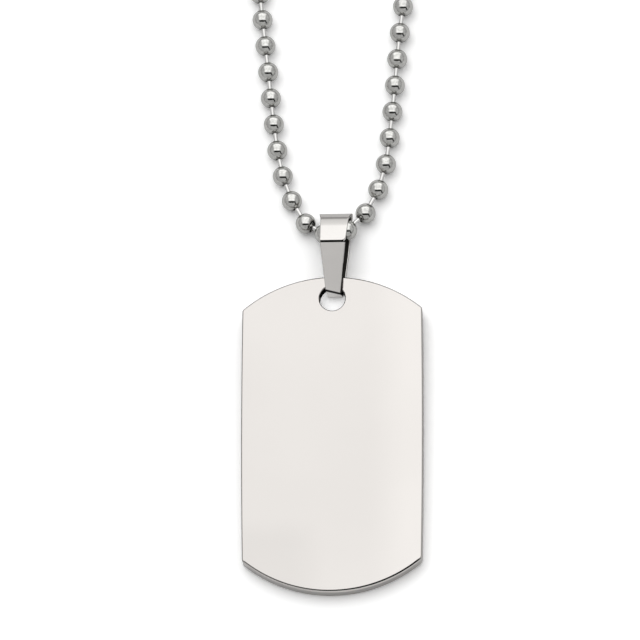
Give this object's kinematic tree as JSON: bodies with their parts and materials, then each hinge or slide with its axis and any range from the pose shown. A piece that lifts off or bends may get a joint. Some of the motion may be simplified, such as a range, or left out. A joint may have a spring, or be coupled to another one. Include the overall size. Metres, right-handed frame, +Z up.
{
  "type": "identification dog tag",
  "caption": "Blank steel identification tag, rounded rectangle with a top hole, hung by a folded strap bail on a closed ball chain.",
  "frame": {"origin": "middle of the whole laid-out necklace in plan, on the surface that it lies on", "axes": "+Y from the tag towards the far end of the chain, +Z up from the surface through the tag's front face, +X to the right as the tag is read from the front"},
  "size_m": [0.125, 0.3006, 0.0049],
  "materials": {
    "tag_steel": "mirror polished stainless steel, very faint cloudiness",
    "bail_steel": "mirror polished stainless steel strap",
    "bead_steel": "polished stainless steel beads with fine tumbling scratches",
    "wire_steel": "bright drawn steel wire",
    "connector_steel": "polished stainless steel sleeve"
  },
  "bodies": {
    "root": {"tag_plate": "tag_steel", "bail": "bail_steel", "chain_beads": "bead_steel", "chain_wire": "wire_steel", "connector": "connector_steel"}
  },
  "joints": []
}
